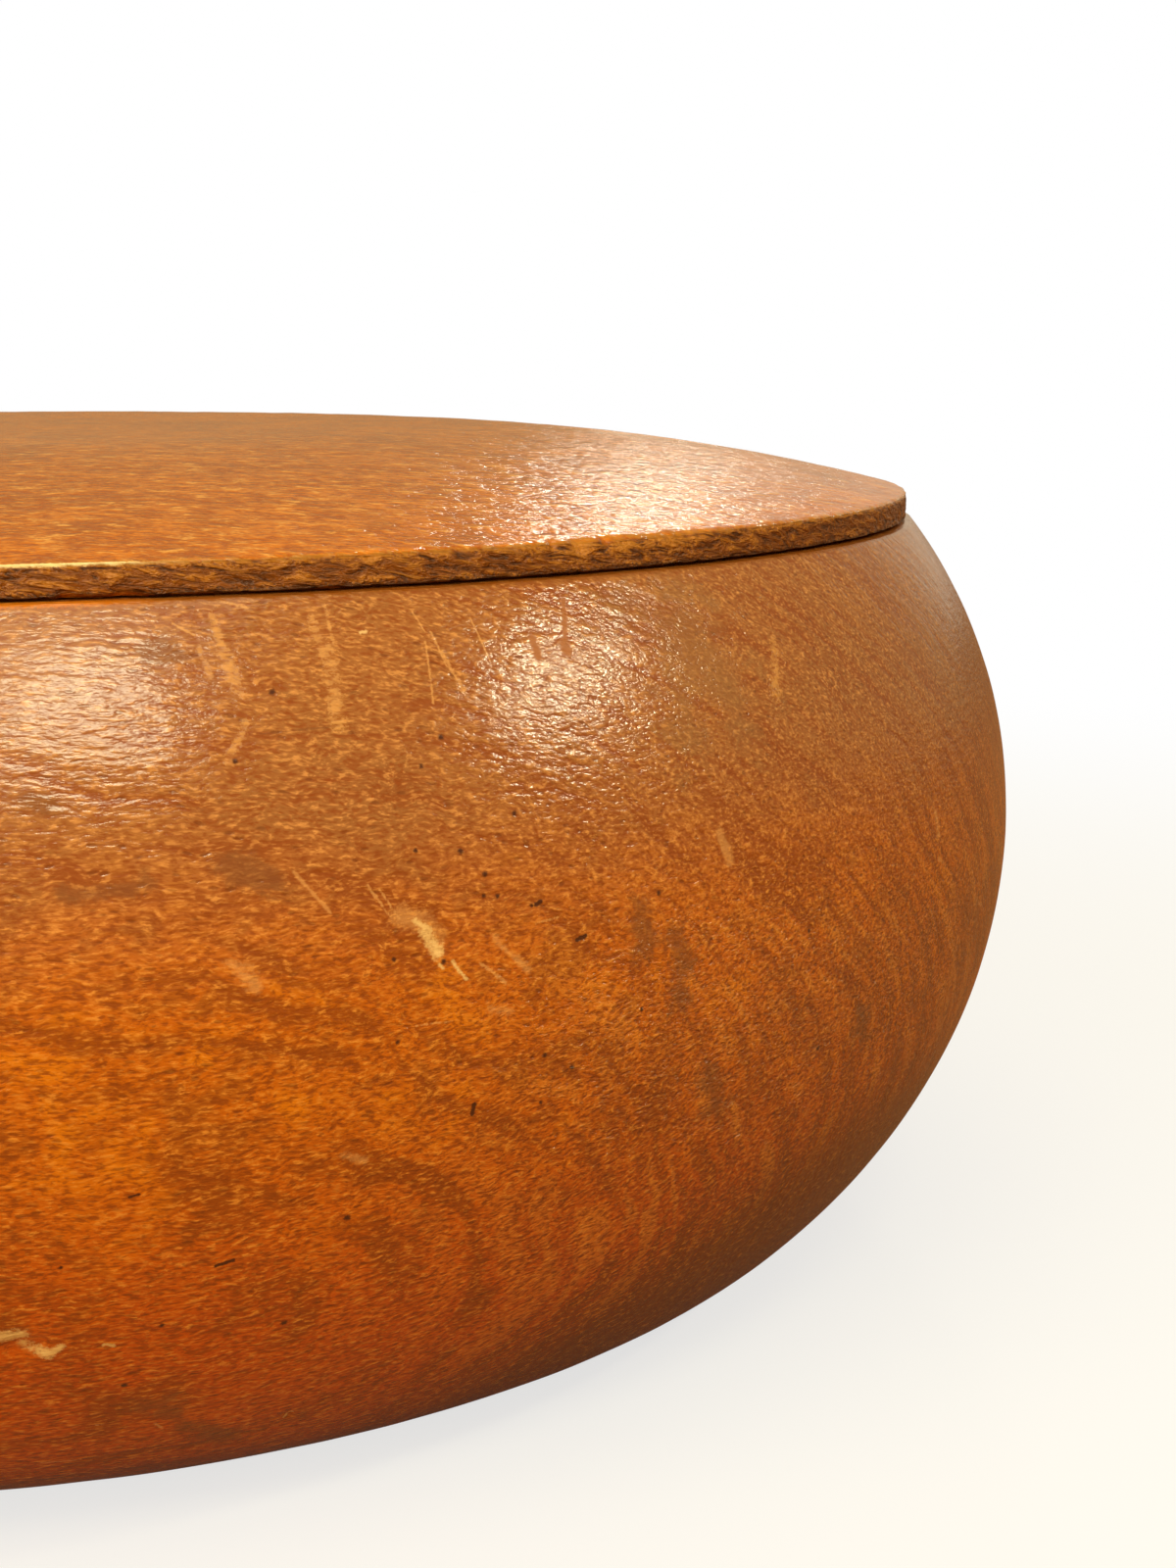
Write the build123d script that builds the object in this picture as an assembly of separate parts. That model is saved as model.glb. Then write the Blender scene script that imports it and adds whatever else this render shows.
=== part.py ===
from build123d import *
from math import asin, cos, degrees, radians, sin
import os

# Turned wooden trinket box: a round-bellied bowl and a thin-edged, low-domed lid that lifts off.
# Both pieces are turned about the same axis. Millimetres, +Z up, with the origin at the centre of
# the foot, on the surface that the box stands on. Radii are from the turning axis and heights
# from the foot.

# Outside of the bowl: three tangent arcs, from the lip over the belly to the foot
belly_radius = 70.5
belly_height = 29.7
shoulder_arc = 31.9
bilge_arc = 33.7
bilge_sweep = 49.0
heel_arc = 17.6

# Lip of the bowl, and the flat seat inside it that the lid rests on
shoulder_sweep = 37.6
lip_bevel = 0.4
seat_height = 49.3
seat_edge_radius = 61.5
mouth_radius = 57.5
mouth_bevel = 0.3

# Straight-sided hollow with a coved floor, and the recess under the foot
cove_arc = 12.0
floor_height = 7.0
foot_land = 7.0
foot_recess = 1.2

# Lid: a thin square edge, a low dome with a flat middle, and a spigot that drops into the mouth
lid_radius = 63.5
edge_thickness = 1.7
crown = 4.2
flat_radius = 30.0
spigot_clearance = 0.35
spigot_depth = 3.6
spigot_bevel = 0.5
spigot_land = 6.0
recess_depth = 3.0
recess_flare = 4.0


def on_arc(centre, radius, angle):
    """The point of an arc at an angle in degrees, measured up from straight outward."""
    turn = radians(angle)
    return (centre[0] + radius * cos(turn), centre[1] + radius * sin(turn))


def turned(section):
    """One full turn of a closed half section about the lathe's axis."""
    with BuildPart() as piece:
        with BuildSketch(Plane.XZ):
            with BuildLine():
                for edge in section:
                    add(edge)
            make_face()
        revolve(axis=Axis.Z)
    return piece.part


def bowl():
    """Bowl with a rolled-in shoulder, a flat seat round a straight mouth, and a recessed foot."""
    shoulder_centre = (belly_radius - shoulder_arc, belly_height)
    bilge_centre = (belly_radius - bilge_arc, belly_height)
    heel_centre = on_arc(bilge_centre, bilge_arc - heel_arc, -bilge_sweep)
    foot_angle = -degrees(asin(heel_centre[1] / heel_arc))
    foot_edge = on_arc(heel_centre, heel_arc, foot_angle)
    foot_inside = foot_edge[0] - foot_land
    lip_edge = on_arc(shoulder_centre, shoulder_arc, shoulder_sweep)
    lip_top = (lip_edge[0] - lip_bevel, (lip_edge[1] + seat_height) / 2)
    cove_centre = (mouth_radius - cove_arc, floor_height + cove_arc)

    foot = Polyline(
        (0, foot_recess),
        (foot_inside - foot_recess, foot_recess),
        (foot_inside, 0),
        foot_edge,
    )
    outside = [
        CenterArc(heel_centre, heel_arc, foot_angle, -bilge_sweep - foot_angle),
        CenterArc(bilge_centre, bilge_arc, -bilge_sweep, bilge_sweep),
        CenterArc(shoulder_centre, shoulder_arc, 0, shoulder_sweep),
    ]
    # The lip is eased off and falls away outward, which leaves a fine dark line under the lid.
    rim = Polyline(
        lip_edge,
        lip_top,
        (seat_edge_radius, seat_height),
        (mouth_radius + mouth_bevel, seat_height),
        (mouth_radius, seat_height - mouth_bevel),
        (mouth_radius, cove_centre[1]),
    )
    cove = CenterArc(cove_centre, cove_arc, 0, -90)
    floor_and_axis = Polyline((cove_centre[0], floor_height), (0, floor_height), (0, foot_recess))
    return turned([foot, *outside, rim, cove, floor_and_axis])


def lid():
    """Lid with a square edge, a dome that falls away from a flat middle, and a recessed spigot."""
    arris_height = seat_height + edge_thickness
    top_height = arris_height + crown
    dome_run = lid_radius - flat_radius
    dome_arc = (dome_run**2 + crown**2) / (2 * crown)
    dome_sweep = degrees(asin(dome_run / dome_arc))
    spigot_radius = mouth_radius - spigot_clearance
    spigot_bottom = seat_height - spigot_depth
    recess_radius = spigot_radius - spigot_land

    middle = Line((0, top_height), (flat_radius, top_height))
    dome = CenterArc((flat_radius, top_height - dome_arc), dome_arc, 90, -dome_sweep)
    edge_and_spigot = Polyline(
        (lid_radius, arris_height),
        (lid_radius, seat_height),
        (spigot_radius, seat_height),
        (spigot_radius, spigot_bottom + spigot_bevel),
        (spigot_radius - spigot_bevel, spigot_bottom),
        (recess_radius, spigot_bottom),
        (recess_radius - recess_flare, spigot_bottom + recess_depth),
        (0, spigot_bottom + recess_depth),
        (0, top_height),
    )
    return turned([middle, dome, edge_and_spigot])


if __name__ == "__main__":
    os.makedirs("parts", exist_ok=True)
    export_step(bowl(), "parts/bowl.step")
    export_step(lid(), "parts/lid.step")
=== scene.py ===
import math

import bpy
import numpy as np
from mathutils import Matrix, Vector, noise
from mathutils.bvhtree import BVHTree


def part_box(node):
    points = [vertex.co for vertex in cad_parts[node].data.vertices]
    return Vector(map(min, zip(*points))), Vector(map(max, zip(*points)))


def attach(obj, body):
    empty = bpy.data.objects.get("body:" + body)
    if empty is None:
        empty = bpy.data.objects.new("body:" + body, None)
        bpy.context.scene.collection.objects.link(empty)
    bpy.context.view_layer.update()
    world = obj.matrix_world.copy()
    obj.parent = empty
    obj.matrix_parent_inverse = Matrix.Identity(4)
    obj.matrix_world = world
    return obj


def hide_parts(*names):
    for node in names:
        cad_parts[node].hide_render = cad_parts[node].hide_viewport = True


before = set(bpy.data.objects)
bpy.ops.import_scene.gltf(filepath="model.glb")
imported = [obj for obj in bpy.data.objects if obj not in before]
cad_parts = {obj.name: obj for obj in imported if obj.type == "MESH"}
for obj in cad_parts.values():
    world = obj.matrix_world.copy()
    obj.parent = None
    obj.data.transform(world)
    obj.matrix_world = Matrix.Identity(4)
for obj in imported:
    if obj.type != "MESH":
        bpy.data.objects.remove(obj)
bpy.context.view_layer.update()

# The looks of a turned, stained and lacquered wooden trinket box. Metres, in the frame of the
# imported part: origin under the middle of the foot, +Z up along the turning axis, grain along X.
# Angles go round the axis in degrees, from +X towards +Y, so that -90 faces the camera.

MM = 0.001
bowl_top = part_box("bowl")[1].z
belly_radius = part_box("bowl")[1].x
lid_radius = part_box("lid")[1].x
lid_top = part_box("lid")[1].z

# Section of the bowl: three tangent arcs outside, a flat rim, a straight hollow, a recessed foot
BELLY_HEIGHT = 29.7 * MM
SHOULDER_ARC = 31.9 * MM
BILGE_ARC = 33.7 * MM
HEEL_ARC = 17.6 * MM
SHOULDER_SWEEP = 37.6
BILGE_SWEEP = 49.0
LIP_BEVEL = 0.4 * MM
SEAT_EDGE = 61.5 * MM
MOUTH_RADIUS = 57.5 * MM
MOUTH_BEVEL = 0.3 * MM
COVE_ARC = 12.0 * MM
FLOOR_HEIGHT = 7.0 * MM
FOOT_LAND = 7.0 * MM
FOOT_RECESS = 1.2 * MM

# Section of the lid: a square edge, a low dome with a flat middle, and a recessed spigot
EDGE_THICKNESS = 1.7 * MM
FLAT_RADIUS = 30.0 * MM
SPIGOT_CLEARANCE = 0.35 * MM
SPIGOT_DEPTH = 3.6 * MM
SPIGOT_BEVEL = 0.5 * MM
SPIGOT_LAND = 6.0 * MM
RECESS_DEPTH = 3.0 * MM
RECESS_FLARE = 4.0 * MM
arris_height = bowl_top + EDGE_THICKNESS

# How far apart the points of the two sections are: fine where small wear shows
FLOOR_STEP = 5 * MM
COVE_STEP = 1.2 * MM
RIM_STEPS = [3 * MM, 0.15 * MM, 1 * MM, 0.5 * MM, 0.15 * MM]
SHOULDER_STEP = 0.36 * MM
BILGE_STEP = 0.45 * MM
HEEL_STEP = 0.5 * MM
FOOT_STEPS = [1 * MM, 0.4 * MM, 5 * MM]
LID_MIDDLE_STEP = 3 * MM
DOME_STEP = 1 * MM
NEAR_EDGE = 5 * MM
NEAR_EDGE_STEP = 0.14 * MM
LID_EDGE_STEPS = [0.085 * MM, 0.5 * MM, 0.8 * MM, 0.25 * MM, 1 * MM, 0.7 * MM, 4 * MM]

# Floor and room. The background is white to the camera. The wood has no metal or glass to mirror
# it, so what its lacquer mirrors is this share of that white, over the dim room and floor.
SHARE_IN_GLOSS = 0.05
WHITE = (1, 1, 1, 1)
ROOM_COLOUR = (1.0, 0.71, 0.3, 1)
ROOM_STRENGTH = 0.38
FLOOR_REACH = 6.0
FLOOR_LIT = (0.85, 0.85, 0.85, 1)
FLOOR_DIM = (0.3, 0.14, 0.02, 1)
SHADOW_SHARE = 0.28
SHADOW_FROM = 0.1
SHADOW_TO = 0.3

# Lamps: name, angle round the axis, angle above level, width, power and tint. All are equally far
# from the point that they aim at.
LAMP_DISTANCE = 0.9
LAMP_AIM = Vector((0, 0, 0.03))
WARM = (1.0, 0.93, 0.62)
LAMPS = [
    ("lamp_over_camera", -80, 46, 0.24, 2.0, WARM),
    ("lamp_left", -125, 32, 1.0, 3.8, WARM),
    ("lamp_low_left", -122, 8, 0.5, 4.1, WARM),
    ("lamp_above", -100, 80, 0.8, 2.2, WARM),
    ("lamp_right", -21, 35, 0.08, 1.6, WARM),
    ("lamp_behind", 67, 28, 0.08, 0.56, (1.0, 0.97, 0.8)),
    ("lamp_low_behind", 58, 12, 0.4, 0.16, (1.0, 0.97, 0.85)),
]

# Degrees round the axis, and from column to column. The side that the photograph shows is cut
# finer, so that its small marks have shape.
FINE_FROM = -96.0
FINE_TO = -14.0
BOWL_FINE_STEP = 0.25
LID_FINE_STEP = 0.16
COARSE_STEP = 1.2
SIGHT_STEP = 1.5

# The photograph's own view: close in front, turned to the right and tilted down
EYE = Vector((0, -0.19234, 0.06199))
HEADING = -12.57
TILT = 9.64
ROLL = -0.11
NEAREST = 0.01
LENS = 62.1
SENSOR = 36.0
PHOTO_SIZE = (1200, 1600)
focal_pixels = LENS / SENSOR * PHOTO_SIZE[1]
view_turn = (
    Matrix.Rotation(math.radians(HEADING), 3, "Z")
    @ Matrix.Rotation(math.radians(90 - TILT), 3, "X")
    @ Matrix.Rotation(math.radians(ROLL), 3, "Z")
)

# Wear of the lid: how uneven the dome and the edge are, and how far the arris is eased off, in
# millimetres, at angles round it. It is chipped at -63 to -53 degrees. Its lower corner has a
# broken stretch at the left.
SLACK = 0.01 * MM
DOME_UNEVEN = 0.03 * MM
DOME_LUMPS = 3 * MM
WORN_FROM = 0.45
EDGE_UNEVEN = 0.075 * MM
EDGE_FIBRES = 0.8 * MM
EDGE_FIBRE_SLANT = np.array([[1.0, 0.35, 0], [-0.2, 1.0, 0], [0.9, 0.9, 1.6]])
ARRIS_ANGLES = [
    -96, -85, -84, -80, -77, -72, -66, -63.7, -63.3, -60, -56, -53.5, -52.5, -40, -14, 264,
]
ARRIS_EASED = [
    0.10, 0.10, 0.2, 0.28, 0.4, 0.5, 0.45, 0.4, 0.75, 0.85, 0.75, 0.6, 0.4, 0.3, 0.3, 0.12,
]
ARRIS_JAGS = 0.9 * MM
CORNER_EASING = 0.42
ARRIS_INWARD = (-0.8, -0.6)
BREAK_ANGLES = [-87.2, -86.9, -85.0, -84.3, -83.6, -82.8]
BREAK_DEPTHS = [0, 0.5, 0.35, 0.7, 0.5, 0]
LOWER_EASED = 0.28
LOWER_CRUMBS = 2.2 * MM
LOWER_INWARD = (-0.5, 0.85)

# Wear of the bowl: its unevenness beyond a reach from the axis, and the dents at pixels of the
# photograph, each with half its length and height and its depth
UNEVEN_FROM = 0.9 * MOUTH_RADIUS
BELLY_UNEVEN = 0.03 * MM
BELLY_LUMPS = 5 * MM
DENT_EDGE = 0.7 * MM
DENT_WALL = 1.2
DENTS = [
    ((24, 1374), (1.7 * MM, 0.75 * MM), 0.22 * MM),
    ((110, 1374), (0.3 * MM, 0.2 * MM), 0.1 * MM),
    ((294, 1444), (0.35 * MM, 0.25 * MM), 0.12 * MM),
    ((448, 962), (0.9 * MM, 0.8 * MM), 0.07 * MM),
]

# Noise runs from about -1 to 1. Less this much, it nearly always cuts in.
INTO_THE_WOOD = 0.9


def on_arc(centre, radius, angle):
    """The point of an arc at an angle in degrees, measured up from straight outward."""
    turn = math.radians(angle)
    return (centre[0] + radius * math.cos(turn), centre[1] + radius * math.sin(turn))


def arc(centre, radius, start, sweep, step):
    """Points along an arc of the section, about step apart, without its first point."""
    count = max(2, round(abs(math.radians(sweep)) * radius / step))
    return [on_arc(centre, radius, start + sweep * k / count) for k in range(1, count + 1)]


def line(start, end, step):
    """Points along a straight stretch of the section, without its first point."""
    count = max(1, round(math.dist(start, end) / step))
    return [
        (start[0] + (end[0] - start[0]) * k / count, start[1] + (end[1] - start[1]) * k / count)
        for k in range(1, count + 1)
    ]


def through(points, steps):
    """Straight stretches through several points, each with its own step."""
    out = []
    for start, end, step in zip(points, points[1:], steps):
        out += line(start, end, step)
    return out


SHOULDER_CENTRE = (belly_radius - SHOULDER_ARC, BELLY_HEIGHT)
BILGE_CENTRE = (belly_radius - BILGE_ARC, BELLY_HEIGHT)
HEEL_CENTRE = on_arc(BILGE_CENTRE, BILGE_ARC - HEEL_ARC, -BILGE_SWEEP)
FOOT_ANGLE = -math.degrees(math.asin(HEEL_CENTRE[1] / HEEL_ARC))


def bowl_section():
    """From the axis on the floor, up the hollow, over the rim and down the belly to the foot."""
    foot_edge = on_arc(HEEL_CENTRE, HEEL_ARC, FOOT_ANGLE)
    foot_inside = foot_edge[0] - FOOT_LAND
    lip_edge = on_arc(SHOULDER_CENTRE, SHOULDER_ARC, SHOULDER_SWEEP)
    lip_top = (lip_edge[0] - LIP_BEVEL, (lip_edge[1] + bowl_top) / 2)
    cove_centre = (MOUTH_RADIUS - COVE_ARC, FLOOR_HEIGHT + COVE_ARC)
    points = [(0.0, FLOOR_HEIGHT)]
    points += line(points[-1], (cove_centre[0], FLOOR_HEIGHT), FLOOR_STEP)
    points += arc(cove_centre, COVE_ARC, -90, 90, COVE_STEP)
    points += through(
        [
            points[-1],
            (MOUTH_RADIUS, bowl_top - MOUTH_BEVEL),
            (MOUTH_RADIUS + MOUTH_BEVEL, bowl_top),
            (SEAT_EDGE, bowl_top),
            lip_top,
            lip_edge,
        ],
        RIM_STEPS,
    )
    points += arc(SHOULDER_CENTRE, SHOULDER_ARC, SHOULDER_SWEEP, -SHOULDER_SWEEP, SHOULDER_STEP)
    points += arc(BILGE_CENTRE, BILGE_ARC, 0, -BILGE_SWEEP, BILGE_STEP)
    points += arc(HEEL_CENTRE, HEEL_ARC, -BILGE_SWEEP, FOOT_ANGLE + BILGE_SWEEP, HEEL_STEP)
    points += through(
        [foot_edge, (foot_inside, 0.0), (foot_inside - FOOT_RECESS, FOOT_RECESS), (0.0, FOOT_RECESS)],
        FOOT_STEPS,
    )
    return np.array(points)


def lid_section():
    """From the axis on top, out over the dome, round the thin edge and in along the spigot."""
    crown = lid_top - arris_height
    run = lid_radius - FLAT_RADIUS
    dome_arc = (run**2 + crown**2) / (2 * crown)
    sweep = math.degrees(math.asin(run / dome_arc))
    rim_sweep = math.degrees(NEAR_EDGE / dome_arc)
    dome_centre = (FLAT_RADIUS, lid_top - dome_arc)
    spigot = MOUTH_RADIUS - SPIGOT_CLEARANCE
    low = bowl_top - SPIGOT_DEPTH
    recess = spigot - SPIGOT_LAND
    points = [(0.0, lid_top)]
    points += line(points[-1], (FLAT_RADIUS, lid_top), LID_MIDDLE_STEP)
    points += arc(dome_centre, dome_arc, 90, rim_sweep - sweep, DOME_STEP)
    points += arc(dome_centre, dome_arc, 90 - sweep + rim_sweep, -rim_sweep, NEAR_EDGE_STEP)
    points += through(
        [
            (lid_radius, arris_height),
            (lid_radius, bowl_top),
            (spigot, bowl_top),
            (spigot, low + SPIGOT_BEVEL),
            (spigot - SPIGOT_BEVEL, low),
            (recess, low),
            (recess - RECESS_FLARE, low + RECESS_DEPTH),
            (0.0, low + RECESS_DEPTH),
        ],
        LID_EDGE_STEPS,
    )
    return np.array(points)


def column_angles(fine_step):
    """Angles of the columns, in degrees: fine where the photograph looks and coarser behind."""
    fine = np.arange(FINE_FROM, FINE_TO, fine_step)
    rest = 360 - (FINE_TO - FINE_FROM)
    count = round(rest / COARSE_STEP)
    return np.concatenate([fine, FINE_TO + rest * np.arange(count) / count])


def turned(section, angles):
    """Rings of points turned from a section whose ends lie on the axis, and their outward ways."""
    turn = np.radians(angles)
    along = np.gradient(section, axis=0)
    along /= np.linalg.norm(along, axis=1)[:, None]
    rings, ways = section[1:-1], np.stack([-along[:, 1], along[:, 0]], axis=1)[1:-1]

    def swing(pairs):
        flat = [pairs[:, 0, None] * np.cos(turn), pairs[:, 0, None] * np.sin(turn)]
        return np.stack([*flat, np.repeat(pairs[:, 1, None], len(turn), axis=1)], axis=-1)

    return swing(rings), swing(ways)


def skin(grid, section):
    """Points and faces that close the rings with a fan at each end of the axis."""
    rows, columns = grid.shape[:2]
    points = [*grid.reshape(-1, 3).tolist(), [0, 0, section[0, 1]], [0, 0, section[-1, 1]]]
    column = np.arange(columns)
    following = np.roll(column, -1)
    faces = []
    for row in range(rows - 1):
        here, there = row * columns + column, row * columns + following
        faces += np.stack([here, here + columns, there + columns, there], axis=-1).tolist()
    last = (rows - 1) * columns
    start = rows * columns
    faces += np.stack([np.full(columns, start), column, following], axis=-1).tolist()
    faces += np.stack([np.full(columns, start + 1), last + following, last + column], axis=-1).tolist()
    return points, faces


def make_piece(name, grid, section):
    """A smooth-shaded turned piece, with its rings as moved by wear."""
    mesh = bpy.data.meshes.new(name)
    points, faces = skin(grid, section)
    mesh.from_pydata(points, [], faces)
    mesh.polygons.foreach_set("use_smooth", [True] * len(mesh.polygons))
    piece = bpy.data.objects.new(name, mesh)
    bpy.context.scene.collection.objects.link(piece)
    return piece


def target(section):
    """A plain turned shape that lines of sight are stopped by."""
    grid = turned(section, np.arange(0.0, 360.0, SIGHT_STEP))[0]
    return BVHTree.FromPolygons(*skin(grid, section))


def seen(pixel, shape):
    """Where the line of sight through a pixel of the photograph meets a shape, in millimetres."""
    across = (pixel[0] - PHOTO_SIZE[0] / 2) / focal_pixels
    down = (pixel[1] - PHOTO_SIZE[1] / 2) / focal_pixels
    sight = view_turn @ Vector((across, -down, -1))
    return shape.ray_cast(EYE, sight.normalized())[0] / MM


def rough(points, size, octaves=2, seed=0.0):
    """Smooth random values from about -1 to 1 at points of any array; size is in metres."""
    shift = Vector((seed, -seed, 2 * seed))
    flat = [noise.fractal(Vector(p) / size + shift, 1.0, 2.0, octaves) for p in points.reshape(-1, 3)]
    return np.array(flat).reshape(points.shape[:-1])


def round_corner(grid, corner, inward, radius):
    """Eases off a corner that runs round the piece; radius is given for each column."""
    reach = np.hypot(grid[..., 0], grid[..., 1])
    away = np.hypot(reach - corner[0], grid[..., 2] - corner[1])
    share = np.clip(1 - away / np.maximum(radius, 1e-6), 0, 1)
    move = CORNER_EASING * radius * share**2
    grid[..., :2] += grid[..., :2] / reach[..., None] * (inward[0] * move)[..., None]
    grid[..., 2] += inward[1] * move


def wear_lid(grid, ways, angles):
    """Uneven dome, a rough edge with an eased and chipped arris, and a ragged lower corner."""
    reach = np.hypot(grid[..., 0], grid[..., 1])
    top = grid[..., 2] >= arris_height - SLACK
    side = (reach > lid_radius - SLACK) & ~top
    outer = top & (reach > WORN_FROM * lid_radius)
    depth = np.zeros(grid.shape[:2])
    depth[outer] = DOME_UNEVEN * (rough(grid[outer], DOME_LUMPS, 3) - INTO_THE_WOOD)
    fibres = grid[side] @ EDGE_FIBRE_SLANT
    depth[side] = EDGE_UNEVEN * (rough(fibres, EDGE_FIBRES, 3, seed=4.0) - 1.0)
    grid += ways * np.minimum(depth, 0)[..., None]

    circle = np.stack([np.cos(np.radians(angles)), np.sin(np.radians(angles)), 0 * angles], axis=-1)
    circle *= lid_radius
    jagged = 1 + 0.8 * rough(circle, ARRIS_JAGS, 3, seed=7.0)
    eased = MM * np.interp(angles, ARRIS_ANGLES, ARRIS_EASED) * jagged
    round_corner(grid, (lid_radius, arris_height), ARRIS_INWARD, eased)
    crumbled = 0.3 * np.clip(rough(circle, LOWER_CRUMBS, 3, seed=12.0), 0, 1)
    low = MM * (LOWER_EASED + crumbled + np.interp(angles, BREAK_ANGLES, BREAK_DEPTHS))
    round_corner(grid, (lid_radius, bowl_top), LOWER_INWARD, low)


def dent(grid, ways, place, half, depth, seed):
    """Presses a ragged oval hollow into the surface; half is its half length and half height."""
    centre = np.array(place) * MM
    away = grid - centre
    around = np.cross([0, 0, 1.0], centre)
    around /= np.linalg.norm(around)
    close = np.linalg.norm(away, axis=-1) < 2 * max(half)
    spread = (away[close] @ around / half[0]) ** 2
    spread += (np.linalg.norm(away[close], axis=-1) ** 2 - (away[close] @ around) ** 2) / half[1] ** 2
    spread += 0.5 * rough(grid[close], DENT_EDGE, 3, seed)
    grid[close] -= ways[close] * (depth * np.clip(DENT_WALL * (1 - spread), 0, 1))[..., None]


def wear_bowl(grid, ways, shape):
    """Slightly uneven outside, and the dents of the front."""
    outside = ways[..., 0] * grid[..., 0] + ways[..., 1] * grid[..., 1] > 0
    outside &= np.hypot(grid[..., 0], grid[..., 1]) > UNEVEN_FROM
    depth = BELLY_UNEVEN * (rough(grid[outside], BELLY_LUMPS) - INTO_THE_WOOD)
    grid[outside] += ways[outside] * np.minimum(depth, 0)[..., None]
    for seed, (pixel, half, depth) in enumerate(DENTS, start=1):
        dent(grid, ways, seen(pixel, shape), half, depth, seed)


def srgb(red, green, blue):
    """A solid colour as written for a screen, 0 to 255, in the renderer's linear values."""
    share = [value / 255 for value in (red, green, blue)]
    linear = [c / 12.92 if c <= 0.04045 else ((c + 0.055) / 1.055) ** 2.4 for c in share]
    return (*linear, 1)


class Nodes:
    """Short ways to add nodes to one tree and wire them up."""

    def __init__(self, tree):
        self.tree = tree

    def add(self, kind, settings=None, **inputs):
        """A new node; an underscore in an input's name stands for a space."""
        node = self.tree.nodes.new(kind)
        for key, value in (settings or {}).items():
            setattr(node, key, value)
        for key, value in inputs.items():
            self.feed(node.inputs[key.replace("_", " ")], value)
        return node

    def group(self, name, **inputs):
        """The outputs of a node group placed with its own values."""
        return self.add("ShaderNodeGroup", {"node_tree": bpy.data.node_groups[name]}, **inputs).outputs

    def feed(self, socket, value):
        if isinstance(value, bpy.types.NodeSocket):
            self.tree.links.new(value, socket)
        else:
            socket.default_value = value

    def math(self, operation, *values):
        node = self.add("ShaderNodeMath", {"operation": operation})
        for socket, value in zip(node.inputs, values):
            self.feed(socket, value)
        return node.outputs[0]

    def vector(self, operation, *values):
        node = self.add("ShaderNodeVectorMath", {"operation": operation})
        for socket, value in zip(node.inputs, values):
            self.feed(socket, value)
        return node.outputs["Value" if operation in ("LENGTH", "DISTANCE", "DOT_PRODUCT") else 0]

    def scale(self, vector, amount):
        node = self.add("ShaderNodeVectorMath", {"operation": "SCALE"}, Scale=amount)
        self.feed(node.inputs[0], vector)
        return node.outputs[0]

    def split(self, vector):
        """The X, Y and Z of a vector."""
        return self.add("ShaderNodeSeparateXYZ", Vector=vector).outputs

    def noise(self, vector, size, detail=2.0, roughness=0.5, distortion=0.0):
        """Smooth random values round 0.5; size is about that of two lumps."""
        node = self.add(
            "ShaderNodeTexNoise",
            Vector=vector,
            Scale=1.0 / size,
            Detail=detail,
            Roughness=roughness,
            Distortion=distortion,
        )
        return node.outputs["Fac"]

    def spread(self, value, low, high, start=0.0, end=1.0):
        """Maps low..high to start..end with a smooth step."""
        node = self.add("ShaderNodeMapRange", {"interpolation_type": "SMOOTHSTEP"})
        for socket, fed in zip(node.inputs, (value, low, high, start, end)):
            self.feed(socket, fed)
        return node.outputs[0]

    def mix(self, factor, first, second):
        """The first colour, with the share that factor gives of the second."""
        node = self.add("ShaderNodeMix", {"data_type": "RGBA"})
        for place, value in ((0, factor), (6, first), (7, second)):
            self.feed(node.inputs[place], value)
        return node.outputs[2]

    def blend(self, factor, first, second):
        """The first shader, with the share that factor gives of the second."""
        node = self.add("ShaderNodeMixShader", Fac=factor)
        self.feed(node.inputs[1], first)
        self.feed(node.inputs[2], second)
        return node.outputs[0]

    def total(self, *terms, start=0.0):
        """Sum of (value, weight) pairs, from a start."""
        out = start
        for value, weight in terms:
            out = self.math("MULTIPLY_ADD", value, weight, out)
        return out


def new_group(name, inputs, outputs):
    """An empty node group; inputs are (name, kind, value) and outputs are names of numbers."""
    tree = bpy.data.node_groups.new(name, "ShaderNodeTree")
    for title, kind, value in inputs:
        socket = tree.interface.new_socket(title, in_out="INPUT", socket_type="NodeSocket" + kind)
        if value is not None:
            socket.default_value = value
    for title in outputs:
        tree.interface.new_socket(title, in_out="OUTPUT", socket_type="NodeSocketFloat")
    source = tree.nodes.new("NodeGroupInput")
    sink = tree.nodes.new("NodeGroupOutput")
    return Nodes(tree), source.outputs, sink.inputs


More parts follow.
